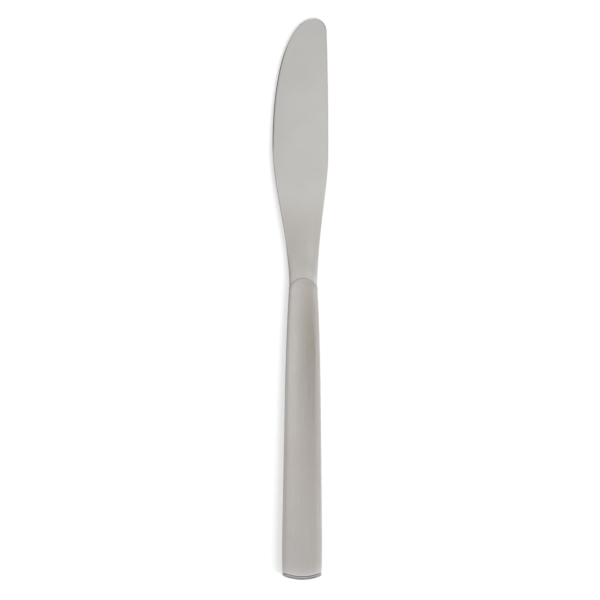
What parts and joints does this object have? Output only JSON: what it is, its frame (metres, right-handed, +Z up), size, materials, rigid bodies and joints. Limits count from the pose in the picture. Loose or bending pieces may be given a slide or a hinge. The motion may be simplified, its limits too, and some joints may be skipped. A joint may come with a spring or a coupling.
{
  "type": "table knife",
  "caption": "Table knife with a broad round-fronted blade and a flared hollow handle, in satin stainless steel, lying on its side.",
  "frame": {"origin": "on the surface that the knife lies on, under the middle of its box", "axes": "+Z up, +Y along the knife from the butt to the tip, -X towards the cutting edge, +X towards the spine"},
  "size_m": [0.0218, 0.22, 0.008],
  "materials": {
    "blade_steel": "fine satin grind",
    "handle_steel": "satin, brushed along the handle",
    "braze": "filed flush and brushed with the handle",
    "cement": "set cement, matt and gritty"
  },
  "bodies": {
    "root": {"blade": "blade_steel", "handle_top_shell": "handle_steel", "handle_bottom_shell": "handle_steel", "seam_braze": "braze", "butt_cap": "handle_steel", "tang_cement": "cement"}
  },
  "joints": []
}
